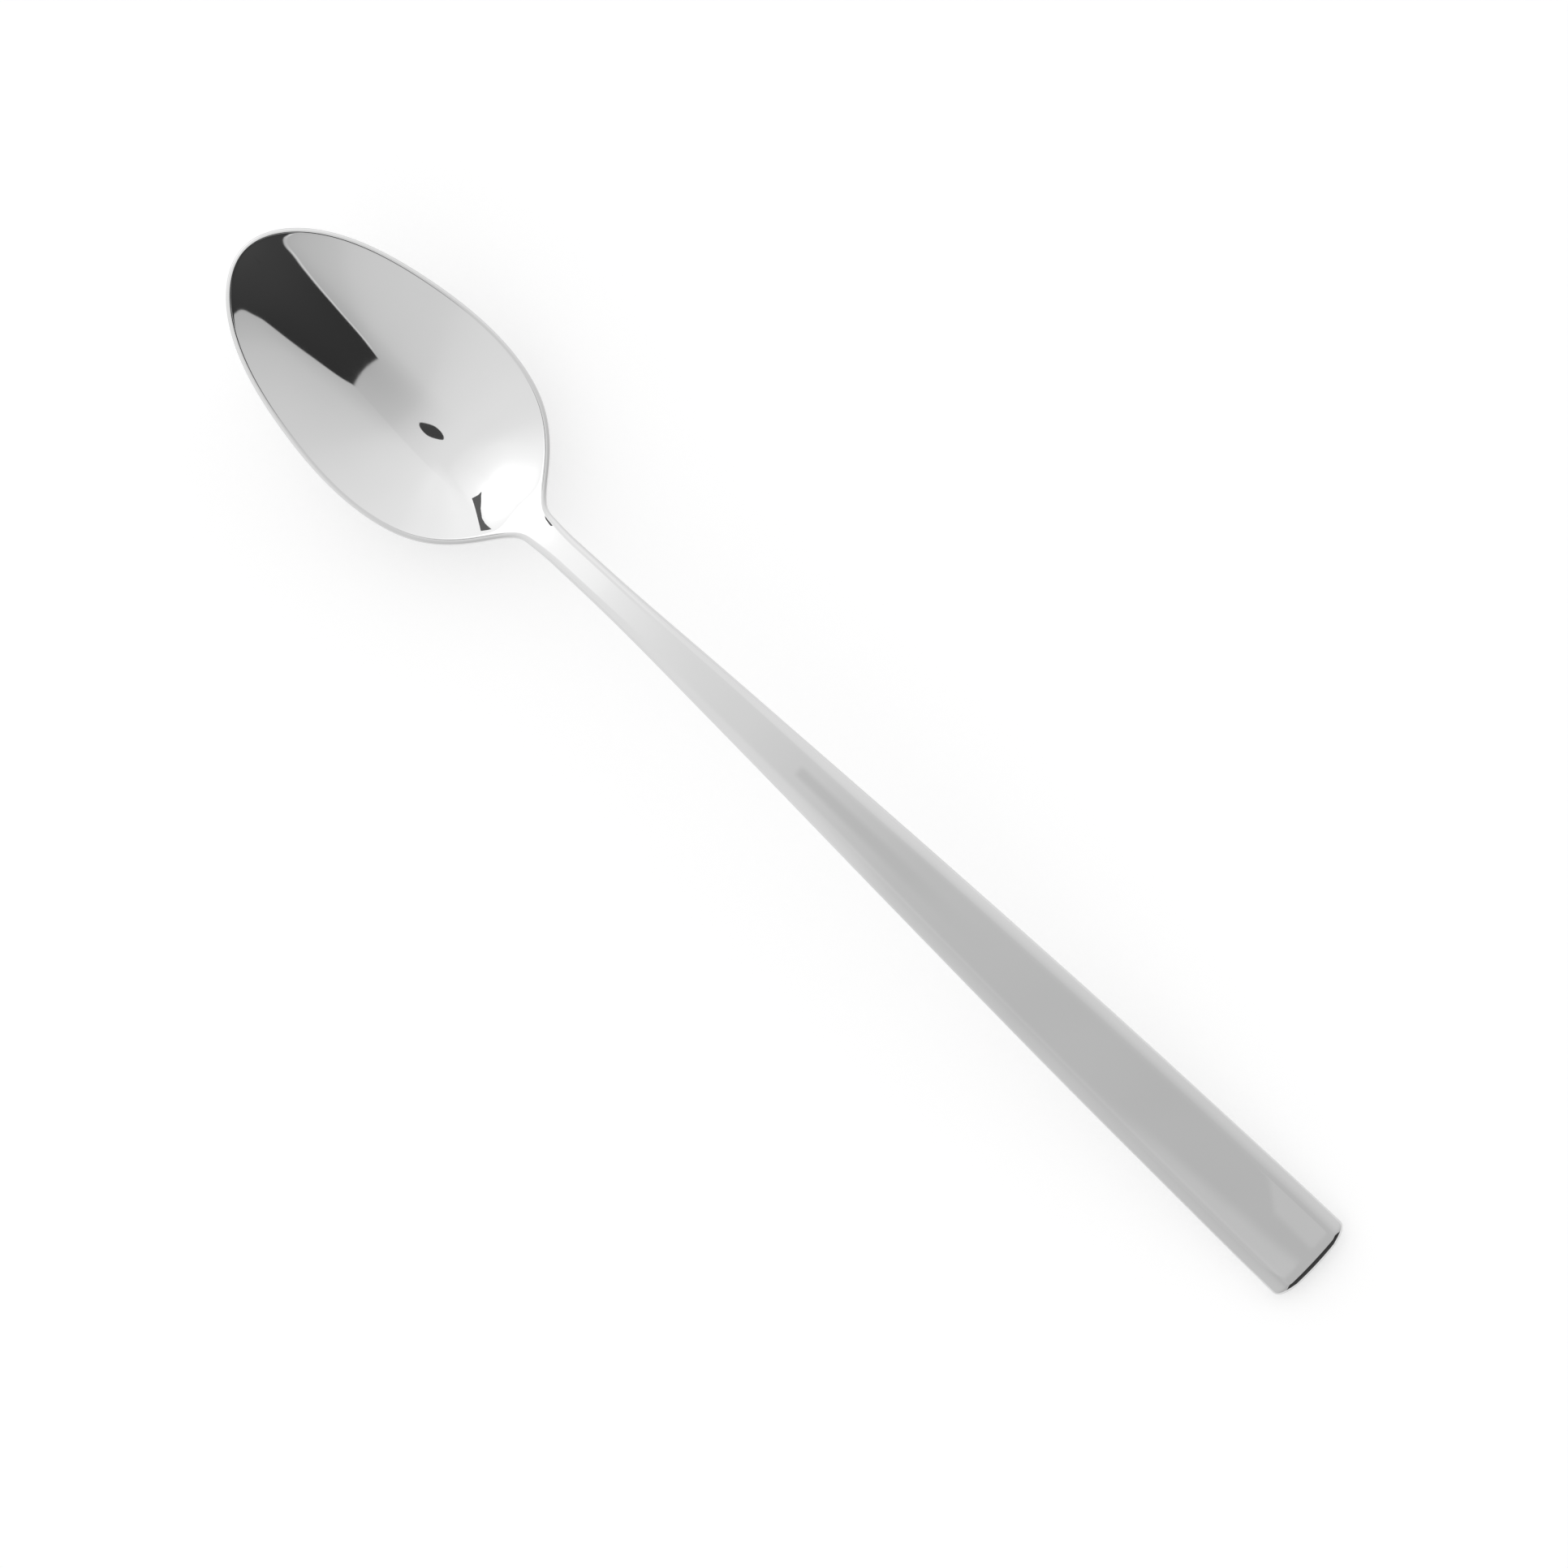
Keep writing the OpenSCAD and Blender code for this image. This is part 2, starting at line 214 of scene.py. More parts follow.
def ring(x, e=0.0):
    """One closed row at station x, moved in from the skin by e: the top from +Y to -Y, down the -Y edge,
    back along the underside and up the +Y edge."""
    lip = float(ease(lip_line, x))
    rw, rh = float(ease(round_w, x)), float(ease(round_h, x))
    uw, uh = float(ease(under_w, x)), float(ease(under_h, x))
    first = lip - 0.12 if rw < lip - 0.01 else lip + 0.12
    turns = [math.pi / 2 * i / TURN for i in range(TURN + 1)]
    lev = [(max(first, rw + 0.05), e, 1)]
    bev = float(ease(bevel_line, x))
    lev += [(e + (rw - e) * (1 - max(math.cos(t), 0) ** bev), e + (rh - e) * (1 - math.sin(t) ** bev), 1) for t in reversed(turns)]
    lev += [(e + (uw - e) * (1 - math.cos(t)), e + (uh - e) * (1 - math.sin(t)), -1) for t in turns]
    w = float(half(x))
    g = float(half2_slope(x)) / 2
    n = math.sqrt(g * g + w * w)
    flat = x >= X_NECK

    def edge(l):
        px = x if flat else x + l[0] * g / n
        py = w - l[0] if flat else w - l[0] * w / n
        z = float(top0(px, py)) - l[1] if l[2] > 0 else float(under0(px, py)) + l[1]
        return px, py, z

    pts = [edge(l) for l in lev]
    # the rows across run up to the inner edge of the lip, and are closest together beside it
    ax, ay, _ = pts[0]
    ys = ay * np.cos(np.pi * np.arange(ACROSS + 1) / ACROSS)
    top = np.stack([np.full_like(ys, ax), ys, top0(np.full_like(ys, ax), ys) - e], 1)
    bx, by, _ = pts[-1]
    yb = -by * np.cos(np.pi * np.arange(1, ACROSS) / ACROSS)
    und = np.stack([np.full_like(yb, bx), yb, under0(np.full_like(yb, bx), yb) + e], 1)
    left = np.array([(p[0], -p[1], p[2]) for p in pts[1:]])
    right = np.array([(p[0], p[1], p[2]) for p in reversed(pts[1:])])
    return np.concatenate([top, left, und, right]), pts


def finish_points(p):
    """Bows and leans the end face, lays the spoon on the table, and turns millimetres into metres."""
    p = np.asarray(p, float)
    t = np.clip((p[:, 0] - 182) / 8, 0, 1)
    low = top0(p[:, 0], 0 * p[:, 0]) - p[:, 2]
    x = p[:, 0] - t * t * (END_BOW * (0.7 + 0.5 * low) * p[:, 1] ** 2 / float(half2(190.0)) + TILT * low)
    return np.stack([(x - LEN / 2) / 1000, p[:, 1] / 1000, (p[:, 2] - table(x)) / 1000], 1)


def rows_of(stations):
    return [ring(x, e)[0] for x, e in stations]


BOWL_ROWS = 170
bowl_st = [(X_NECK * (1 - math.sin(math.pi / 2 * i / BOWL_ROWS)), 0.0) for i in range(BOWL_ROWS)][::-1]
neck_st = [(X_NECK + (X_HANDLE - X_NECK) * i / 60, 0.0) for i in range(61)]
last = LEN - END_R
handle_st = [(X_HANDLE + (last - 3 - X_HANDLE) * i / 100, 0.0) for i in range(101)]
handle_st += [(last - v, 0.0) for v in (2.2, 1.5, 1.0, 0.8, 0.6, 0.45, 0.3, 0.15)]
handle_st += [(last + END_R * math.sin(t), END_R * (1 - math.cos(t))) for t in [math.pi / 2 * i / 14 for i in range(15)]]

all_st = bowl_st + neck_st[1:] + handle_st[1:]
rows = rows_of(all_st)
M = len(rows[0])
tip_levels = ring(0.0)[1]
n_rows = len(rows)
pts = np.concatenate([finish_points(r) for r in rows] + [finish_points(tip_levels)])
tip0 = n_rows * M
K = len(tip_levels) - 1


def loft(a, b, offset=0):
    """Quads between rows a..b of the whole loft."""
    f = []
    for r in range(a, b):
        for j in range(M):
            k = (j + 1) % M
            f.append((r * M + j, r * M + k, (r + 1) * M + k, (r + 1) * M + j))
    return f


def tip_faces():
    f = []
    for j in range(ACROSS):
        f.append((j + 1, j, tip0))
    for j in range(K):
        f.append((ACROSS + j + 1, ACROSS + j, tip0 + j, tip0 + j + 1))
    for j in range(ACROSS):
        f.append((ACROSS + K + j + 1, ACROSS + K + j, tip0 + K))
    for j in range(K):
        a = 2 * ACROSS + K + j
        b = (a + 1) % M
        f.append((b, a, tip0 + K - j, tip0 + K - j - 1))
    return f


def smooth_normals(points, faces):
    """Area-weighted normals of the whole spoon, so that its lengths meet without a shading seam."""
    nrm = np.zeros_like(points)
    for size in (3, 4):
        fs = np.array([f for f in faces if len(f) == size])
        if not len(fs):
            continue
        p = points[fs]
        c = np.cross(p[:, 2] - p[:, 0], (p[:, 3] if size == 4 else p[:, 2]) - p[:, 1]) if size == 4 else \
            np.cross(p[:, 1] - p[:, 0], p[:, 2] - p[:, 0])
        for k in range(size):
            np.add.at(nrm, fs[:, k], c)
    return nrm / np.maximum(np.linalg.norm(nrm, axis=1), 1e-20)[:, None]


i_neck = len(bowl_st)                # the row at the bowl's end, which the neck shares
i_handle = i_neck + 60
skin = loft(0, n_rows - 1) + tip_faces()
normals = smooth_normals(pts, skin)


def piece(name, faces, caps):
    """A closed mesh of some faces of the spoon, closed with flat caps over the named rows."""
    used = sorted({i for f in faces for i in f})
    index = {v: i for i, v in enumerate(used)}
    verts = [tuple(pts[i]) for i in used]
    polys = [tuple(index[i] for i in f) for f in faces]
    flat = []
    for row, outward in caps:
        ids = [index[row * M + j] for j in range(M)]
        c = pts[row * M:(row + 1) * M].mean(axis=0)
        verts.append((float(pts[row * M][0]), 0.0, float(c[2])))
        cid = len(verts) - 1
        for j in range(M):
            a, b = ids[j], ids[(j + 1) % M]
            flat.append(len(polys))
            polys.append((cid, a, b) if outward > 0 else (cid, b, a))
    mesh = bpy.data.meshes.new(name)
    mesh.from_pydata(verts, [], polys)
    mesh.update()
    for p in mesh.polygons:
        p.use_smooth = True
    for k in flat:
        mesh.polygons[k].use_smooth = False
    own = [tuple(normals[i]) for i in used] + [(0, 0, 0)] * (len(verts) - len(used))
    loops = []
    for p in mesh.polygons:
        for li in p.loop_indices:
            loops.append(tuple(p.normal) if not p.use_smooth else own[mesh.loops[li].vertex_index])
    mesh.normals_split_custom_set(loops)
    obj = bpy.data.objects.new(name, mesh)
    bpy.context.scene.collection.objects.link(obj)
    return obj


spoon_bowl = piece("spoon_bowl", loft(0, i_neck) + tip_faces(), [(i_neck, 1)])
spoon_neck = piece("spoon_neck", loft(i_neck, i_handle), [(i_neck, -1), (i_handle, 1)])
spoon_handle = piece("spoon_handle", loft(i_handle, n_rows - 1), [(i_handle, -1), (n_rows - 1, 1)])


# ---------------------------------------------------------------- polished steel
def steel():
    """Mirror-polished stainless steel: neutral, with faint polishing lines along the bar and a slight waviness."""
    mat = bpy.data.materials.new("polished_steel")
    mat.use_nodes = True
    nt = mat.node_tree
    nt.nodes.clear()
    out = nt.nodes.new("ShaderNodeOutputMaterial")
    bsdf = nt.nodes.new("ShaderNodeBsdfPrincipled")
    nt.links.new(bsdf.outputs["BSDF"], out.inputs["Surface"])
    bsdf.inputs["Metallic"].default_value = 1.0
    bsdf.inputs["IOR"].default_value = 2.5
    co = nt.nodes.new("ShaderNodeTexCoord")

    def noise(scale, stretch, detail, rough=0.5):
        mp = nt.nodes.new("ShaderNodeMapping")
        mp.inputs["Scale"].default_value = stretch
        nt.links.new(co.outputs["Object"], mp.inputs["Vector"])
        n = nt.nodes.new("ShaderNodeTexNoise")
        n.inputs["Scale"].default_value = scale
        n.inputs["Detail"].default_value = detail
        n.inputs["Roughness"].default_value = rough
        nt.links.new(mp.outputs["Vector"], n.inputs["Vector"])
        return n.outputs["Fac"]

    def span(src, lo, hi, a=0.3, b=0.7):
        m = nt.nodes.new("ShaderNodeMapRange")
        m.inputs["From Min"].default_value = a
        m.inputs["From Max"].default_value = b
        m.inputs["To Min"].default_value = lo
        m.inputs["To Max"].default_value = hi
        nt.links.new(src, m.inputs["Value"])
        return m.outputs["Result"]

    # colour: almost even, a touch darker in broad soft patches
    patch = noise(60, (1, 1, 1), 2)
    ramp = nt.nodes.new("ShaderNodeMix")
    ramp.data_type = "RGBA"
    nt.links.new(span(patch, 0.0, 1.0), ramp.inputs["Factor"])
    ramp.inputs[6].default_value = (0.665, 0.665, 0.665, 1)
    ramp.inputs[7].default_value = (0.690, 0.690, 0.690, 1)
    nt.links.new(ramp.outputs[2], bsdf.inputs["Base Color"])
    # polish: long fine lines and small smears change the roughness a little
    lines = noise(900, (0.06, 1, 1), 3, 0.6)
    smear = noise(140, (0.5, 1, 1), 3, 0.6)
    add = nt.nodes.new("ShaderNodeMath")
    add.operation = "ADD"
    nt.links.new(span(lines, 0.0, 0.014), add.inputs[0])
    nt.links.new(span(smear, 0.028, 0.045), add.inputs[1])
    nt.links.new(add.outputs[0], bsdf.inputs["Roughness"])
    # slight waviness of hand polishing
    b1 = nt.nodes.new("ShaderNodeBump")
    b1.inputs["Strength"].default_value = 0.25
    b1.inputs["Distance"].default_value = 0.00006
    nt.links.new(noise(150, (0.6, 1, 1), 1, 0.4), b1.inputs["Height"])
    b2 = nt.nodes.new("ShaderNodeBump")
    b2.inputs["Strength"].default_value = 0.05
    b2.inputs["Distance"].default_value = 0.00001
    nt.links.new(lines, b2.inputs["Height"])
    nt.links.new(b1.outputs["Normal"], b2.inputs["Normal"])
    nt.links.new(b2.outputs["Normal"], bsdf.inputs["Normal"])
    return mat


metal = steel()
for obj, node in ((spoon_bowl, "bowl"), (spoon_neck, "neck"), (spoon_handle, "handle")):
    obj.data.materials.append(metal)
    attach(obj, "root")
    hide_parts(node)
for node in ("bowl", "neck", "handle"):
    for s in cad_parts[node].material_slots:
        s.material = metal

# ---------------------------------------------------------------- camera: looks down on the table
F_PX = 1100 * 9.6183                     # pixels for each unit of depth, in a frame 1932 pixels wide
TARGET = np.array([97.2595, -2.2112, 8.0])
d = np.array([0.0, math.tan(math.radians(-2.5)), 1.0])
d /= np.linalg.norm(d)
pos = TARGET + 1100 * d
ex = np.array([1.0, 0, 0]) - d * d[0]
ex /= np.linalg.norm(ex)
ey = np.cross(d, ex)
roll = math.radians(43.35)               # the spoon's axis runs down to the right
right = Vector(ex * math.cos(roll) + ey * math.sin(roll))
up = Vector(-ex * math.sin(roll) + ey * math.cos(roll))
back = Vector(d)
cam_data = bpy.data.cameras.new("camera")
cam_data.sensor_fit = "HORIZONTAL"
cam_data.sensor_width = 36.0
cam_data.lens = 36.0 * F_PX / 1932
cam_data.clip_start = 0.01
cam_data.clip_end = 50
cam = bpy.data.objects.new("camera", cam_data)
bpy.context.scene.collection.objects.link(cam)
loc = Vector(((pos[0] - LEN / 2) / 1000, pos[1] / 1000, pos[2] / 1000))
cam.matrix_world = Matrix.Translation(loc) @ Matrix((right, up, back)).transposed().to_4x4()
bpy.context.scene.camera = cam

# ---------------------------------------------------------------- floor
floor_mesh = bpy.data.meshes.new("floor")
R = 6.0
floor_mesh.from_pydata([(-R, -R, 0), (R, -R, 0), (R, R, 0), (-R, R, 0)], [], [(0, 1, 2, 3)])
floor = bpy.data.objects.new("floor", floor_mesh)
bpy.context.scene.collection.objects.link(floor)
fmat = bpy.data.materials.new("pale_floor")
fmat.use_nodes = True
ft = fmat.node_tree
ft.nodes.clear()
fo = ft.nodes.new("ShaderNodeOutputMaterial")
fd = ft.nodes.new("ShaderNodeBsdfDiffuse")
fe = ft.nodes.new("ShaderNodeEmission")
fa = ft.nodes.new("ShaderNodeAddShader")
fd.inputs["Color"].default_value = (0.60, 0.60, 0.60, 1)
fe.inputs["Color"].default_value = (1, 1, 1, 1)
fe.inputs["Strength"].default_value = 0.51
ft.links.new(fd.outputs[0], fa.inputs[0])
ft.links.new(fe.outputs[0], fa.inputs[1])
ft.links.new(fa.outputs[0], fo.inputs["Surface"])
floor.data.materials.append(fmat)

# ---------------------------------------------------------------- painted reflections: small dark sheets overhead, seen only in the metal
def mirror(x, y):
    """A place on the top face, in millimetres, and where the camera's ray goes from there."""
    e = 0.02
    gx_ = (float(top0(x + e, y) - table(x + e)) - float(top0(x - e, y) - table(x - e))) / (2 * e)
    gy_ = (float(top0(x, y + e)) - float(top0(x, y - e))) / (2 * e)
    nrm = np.array([-gx_, -gy_, 1.0])
    nrm /= np.linalg.norm(nrm)
    q = np.array([x, y, float(top0(x, y) - table(x))])
    v = pos - q
    v /= np.linalg.norm(v)
    return q, 2 * nrm.dot(v) * nrm - v


def card(name, corners, strength, paint=None):
    """A flat sheet with these corners in millimetres, which only reflections see; its glow paints a dark or light
    reflection into the metal.
    """
    mesh = bpy.data.meshes.new(name)
    mesh.from_pydata([((c[0] - LEN / 2) / 1000, c[1] / 1000, c[2] / 1000) for c in corners], [],
                     [tuple(range(len(corners)))])
    obj = bpy.data.objects.new(name, mesh)
    bpy.context.scene.collection.objects.link(obj)
    obj.visible_camera = False
    obj.visible_diffuse = False
    obj.visible_shadow = False
    obj.visible_transmission = False
    mat = bpy.data.materials.new(name)
    mat.use_nodes = True
    nt = mat.node_tree
    nt.nodes.clear()
    out = nt.nodes.new("ShaderNodeOutputMaterial")
    em = nt.nodes.new("ShaderNodeEmission")
    em.inputs["Color"].default_value = (strength, strength, strength, 1)
    clear = nt.nodes.new("ShaderNodeBsdfTransparent")
    mix = nt.nodes.new("ShaderNodeMixShader")
    mix.inputs[0].default_value = 0.0
    nt.links.new(em.outputs[0], mix.inputs[1])
    nt.links.new(clear.outputs[0], mix.inputs[2])
    nt.links.new(mix.outputs[0], out.inputs["Surface"])
    if paint:
        paint(nt, mix.inputs[0])
    mesh.materials.append(mat)
    return obj


# a painted dark reflection, a round dark spot in the bowl: a dark sheet over the bowl that slants so that the neck sees
# only its clear back
lean = math.radians(-22)
face = np.array([math.cos(lean), 0, -math.sin(lean)])
q0, r0 = mirror(33.2, 0.0)
middle = q0 + r0 * (90 / r0[2])
spot_outline = []
for i in range(48):
    a_ = 2 * math.pi * i / 48
    ca, sa = math.cos(a_), math.sin(a_)
    bite = 1 - 0.3 * max(0.0, -ca * sa)
    q, r = mirror(33.0 + 1.88 * bite * ca, -0.03 + 0.78 * bite * sa + 0.22 * ca)
    spot_outline.append(q + r * (face.dot(middle - q) / face.dot(r)))


def clear_back(nt, socket):
    g = nt.nodes.new("ShaderNodeNewGeometry")
    nt.links.new(g.outputs["Backfacing"], socket)


painted_spot_card = card("painted_dark_spot", spot_outline, 0.07, clear_back)
if Vector(painted_spot_card.data.polygons[0].normal).dot(Vector(face)) > 0:
    painted_spot_card.data.flip_normals()

def seen_from(places, reach):
    """Corners of a sheet, square to the middle ray, on which the metal shows this outline."""
    rays = [mirror(x_, y_) for x_, y_ in places]
    q, r = rays[0]
    r = sum(v[1] for v in rays)
    r = r / np.linalg.norm(r)
    m = sum(v[0] for v in rays) / len(rays) + r * reach
    return [v[0] + v[1] * (r.dot(m - v[0]) / r.dot(v[1])) for v in rays]


# painted dark reflections, seen only in the metal: the dark gap between the heel's bright and grey sides, and a thin
# dark line beside the neck
card("gap", seen_from([(43.2, -1.4), (43.6, -1.9), (44.7, -3.15), (45.7, -3.95), (46.5, -4.2), (47.65, -4.2),
                       (46.8, -5.3), (45.7, -4.6), (44.3, -3.7), (42.9, -2.9), (43.2, -2.0)], 3), 0.16)
card("line", seen_from([(51.4, 1.7), (52.1, 1.6), (53.1, 1.42), (52.9, 1.22), (52.5, 1.27), (51.8, 1.42)], 1), 0.14)

# a painted highlight on the neck's root: a glowing white sheet over it, seen only in the metal; it leans so that the
# rest
#  of the bowl sees only its clear back, and it fades towards the handle
tilt_up = math.radians(30)
rise = np.array([math.sin(tilt_up), 0, math.cos(tilt_up)])
foot = np.array([40.0, 0, 20.0])
REACH = (-8.0, 42.0)


def painted_neck_highlight(nt, socket):
    t = nt.nodes.new("ShaderNodeTexCoord")
    sp = nt.nodes.new("ShaderNodeSeparateXYZ")
    nt.links.new(t.outputs["Generated"], sp.inputs[0])
    c = nt.nodes.new("ShaderNodeFloatCurve")
    cm = c.mapping.curves[0]
    want = [((k - REACH[0]) / (REACH[1] - REACH[0]), v) for k, v in
            ((-8, 1.0), (3, 1.0), (6, 0.62), (8.2, 0.48), (14.6, 0.40), (18, 0.33), (21, 0.22), (28.7, 0.1), (42, 0.0))]
    cm.points[0].location = want[0]
    cm.points[1].location = want[-1]
    for p in want[1:-1]:
        cm.points.new(*p)
    c.mapping.update()
    nt.links.new(sp.outputs[2], c.inputs["Value"])
    g = nt.nodes.new("ShaderNodeNewGeometry")
    front = nt.nodes.new("ShaderNodeMath")
    front.operation = "SUBTRACT"
    front.inputs[0].default_value = 1.0
    nt.links.new(g.outputs["Backfacing"], front.inputs[1])
    k = nt.nodes.new("ShaderNodeMath")
    k.operation = "MULTIPLY"
    nt.links.new(c.outputs[0], k.inputs[0])
    nt.links.new(front.outputs[0], k.inputs[1])
    inv = nt.nodes.new("ShaderNodeMath")
    inv.operation = "SUBTRACT"
    inv.inputs[0].default_value = 1.0
    nt.links.new(k.outputs[0], inv.inputs[1])
    nt.links.new(inv.outputs[0], socket)


one_side = ((-8, 2.5), (3, 2.4), (11, 3.2), (21, 5.5), (29, 7.5), (42, 10.5))
other_side = ((-8, 2.9), (-3, 3.5), (3, 3.8), (6, 3.4), (11, 3.4), (21, 5.5), (29, 7.5), (42, 10.5))
white = card("painted_neck_highlight", [foot + rise * k - np.array([0, w_, 0]) for k, w_ in one_side]
             + [foot + rise * k + np.array([0, w_, 0]) for k, w_ in reversed(other_side)], 1.62, painted_neck_highlight)
if white.data.polygons[0].normal.x < 0:
    white.data.flip_normals()

# a painted dark streak in the handle's reflection: a soft grey sheet over the handle, with one straight edge towards
# the bowl
def shade(nt, socket):
    """How clear the sheet is: least beside its straight edge and along its middle."""
    t = nt.nodes.new("ShaderNodeTexCoord")
    sp = nt.nodes.new("ShaderNodeSeparateXYZ")
    nt.links.new(t.outputs["Generated"], sp.inputs[0])

    def ramp(src, lo, hi, a, b):
        m = nt.nodes.new("ShaderNodeMapRange")
        m.interpolation_type = "SMOOTHSTEP"
        m.inputs["From Min"].default_value = lo
        m.inputs["From Max"].default_value = hi
        m.inputs["To Min"].default_value = a
        m.inputs["To Max"].default_value = b
        nt.links.new(src, m.inputs["Value"])
        return m.outputs[0]

    def times(p, q):
        m = nt.nodes.new("ShaderNodeMath")
        m.operation = "MULTIPLY"
        nt.links.new(p, m.inputs[0])
        nt.links.new(q, m.inputs[1])
        return m.outputs[0]

    k = times(times(ramp(sp.outputs[0], 0.0, 0.03, 0.0, 1.0), ramp(sp.outputs[0], 0.0, 1.0, 0.14, 0.0)),
              times(ramp(sp.outputs[1], 0.0, 0.4, 0.0, 1.0), ramp(sp.outputs[1], 0.6, 1.0, 1.0, 0.0)))
    inv = nt.nodes.new("ShaderNodeMath")
    inv.operation = "SUBTRACT"
    inv.inputs[0].default_value = 1.0
    nt.links.new(k, inv.inputs[1])
    nt.links.new(inv.outputs[0], socket)


shade_corners = []
for x_, y_ in ((97.0, -1.1), (134.0, -1.4), (134.0, 1.4), (97.0, 1.1)):
    q, r = mirror(x_, y_)
    shade_corners.append(q + r * (60 / r[2]))
lo_y = min(c[1] for c in shade_corners)
hi_y = max(c[1] for c in shade_corners)
x0_, x1_ = shade_corners[0][0], shade_corners[1][0]
z_ = shade_corners[0][2]
card("painted_handle_streak", [(x0_, lo_y, z_), (x1_, lo_y, z_), (x1_, hi_y, z_), (x0_, hi_y, z_)], 0.05, shade)



def graded(make):
    """A paint whose clearness is worked out from the place on the sheet."""
    def paint(nt, socket):
        t = nt.nodes.new("ShaderNodeTexCoord")
        sp = nt.nodes.new("ShaderNodeSeparateXYZ")
        nt.links.new(t.outputs["Generated"], sp.inputs[0])

        def op(kind, p, q):
            m = nt.nodes.new("ShaderNodeMath")
            m.operation = kind
            for i, v in enumerate((p, q)):
                if isinstance(v, (int, float)):
                    m.inputs[i].default_value = v
                else:
                    nt.links.new(v, m.inputs[i])
            return m.outputs[0]

        def soft(v, lo, hi):
            m = nt.nodes.new("ShaderNodeMapRange")
            m.interpolation_type = "SMOOTHSTEP"
            m.inputs["From Min"].default_value = lo
            m.inputs["From Max"].default_value = hi
            nt.links.new(v, m.inputs["Value"])
            return m.outputs[0]

        nt.links.new(op("SUBTRACT", 1.0, make(sp.outputs, op, soft)), socket)
    return paint


def sides(c, op, soft):
    """Bright on both sides of a middle strip that narrows towards the handle's end."""
    left = soft(op("SUBTRACT", c[1], op("ADD", op("MULTIPLY", c[0], 0.086), 0.638)), 0.036, -0.036)
    left = op("MULTIPLY", op("MULTIPLY", left, soft(c[1], 0.0, 0.14)), op("MULTIPLY", soft(c[0], -0.1, 0.6), 0.29))
    edge = op("MAXIMUM", 0.804, op("SUBTRACT", 1.588, op("MULTIPLY", c[0], 0.956)))
    right_ = soft(op("SUBTRACT", c[1], edge), -0.015, 0.027)
    right_ = op("MULTIPLY", op("MULTIPLY", right_, soft(c[1], 1.0, 0.96)), 0.22)
    return op("MAXIMUM", left, right_)


# a painted lighter reflection on both sides of the handle's end: a glowing sheet overhead, seen only in the metal
ends = [mirror(x_, 0.0) for x_ in (150.0, 190.0)]
ends = [q + r * (60 / r[2]) for q, r in ends]
card("painted_end_light", [(ends[0][0], -60, ends[0][2]), (ends[1][0], -60, ends[0][2]), (ends[1][0], 22, ends[0][2]),
                       (ends[0][0], 22, ends[0][2])], 1.0, graded(sides))


def beside(c, op, soft):
    """Dark beside the handle, fading towards the bowl and upwards."""
    return op("MULTIPLY", op("MULTIPLY", soft(c[0], 0.0, 0.22), soft(c[2], 1.0, 0.55)), 0.13)


# a painted darker reflection along the handle's -Y edge: a dim sheet standing beside it, seen only in the metal
card("shade_beside", [(100, -25, 0.5), (215, -25, 0.5), (215, -25, 62), (100, -25, 62)], 0.05, graded(beside))

# ---------------------------------------------------------------- studio light: a white tent, grey overhead
world = bpy.data.worlds.new("studio")
bpy.context.scene.world = world
world.use_nodes = True
wt = world.node_tree
wt.nodes.clear()
wo = wt.nodes.new("ShaderNodeOutputWorld")
bg = wt.nodes.new("ShaderNodeBackground")
wt.links.new(bg.outputs[0], wo.inputs["Surface"])
tc = wt.nodes.new("ShaderNodeTexCoord")
sep = wt.nodes.new("ShaderNodeSeparateXYZ")
wt.links.new(tc.outputs["Generated"], sep.inputs[0])


def calc(op, a, b=None, clamp=False):
    m = wt.nodes.new("ShaderNodeMath")
    m.operation = op
    m.use_clamp = clamp
    for k, v in ((0, a), (1, b)):
        if v is None:
            continue
        if isinstance(v, (int, float)):
            m.inputs[k].default_value = v
        else:
            wt.links.new(v, m.inputs[k])
    return m.outputs[0]


def step(v, lo, hi, a=0.0, b=1.0):
    m = wt.nodes.new("ShaderNodeMapRange")
    m.interpolation_type = "SMOOTHSTEP"
    m.inputs["From Min"].default_value = lo
    m.inputs["From Max"].default_value = hi
    m.inputs["To Min"].default_value = a
    m.inputs["To Max"].default_value = b
    wt.links.new(v, m.inputs["Value"])
    return m.outputs[0]


def curve(v, pts_):
    """A smooth curve of brightness against v, through a few points."""
    lo, hi = pts_[0][0], pts_[-1][0]
    top = max(p[1] for p in pts_)
    m = wt.nodes.new("ShaderNodeMapRange")
    m.inputs["From Min"].default_value = lo
    m.inputs["From Max"].default_value = hi
    wt.links.new(v, m.inputs["Value"])
    c = wt.nodes.new("ShaderNodeFloatCurve")
    cm = c.mapping.curves[0]
    want = [((x - lo) / (hi - lo), y / top) for x, y in pts_]
    cm.points[0].location = want[0]
    cm.points[1].location = want[-1]
    for p in want[1:-1]:
        cm.points.new(*p)
    c.mapping.update()
    wt.links.new(m.outputs[0], c.inputs["Value"])
    return calc("MULTIPLY", c.outputs[0], top)


# angles of a direction along and across the spoon, in degrees, and where it meets a ceiling one unit up
dx, dy, dz = sep.outputs[0], sep.outputs[1], sep.outputs[2]
along = calc("MULTIPLY", calc("ARCSINE", dx), 57.29578)
across_ = calc("MULTIPLY", calc("ARCSINE", dy), 57.29578)
up_ = calc("MAXIMUM", dz, 0.001)
gx = calc("DIVIDE", dx, up_)
gy = calc("DIVIDE", dy, up_)

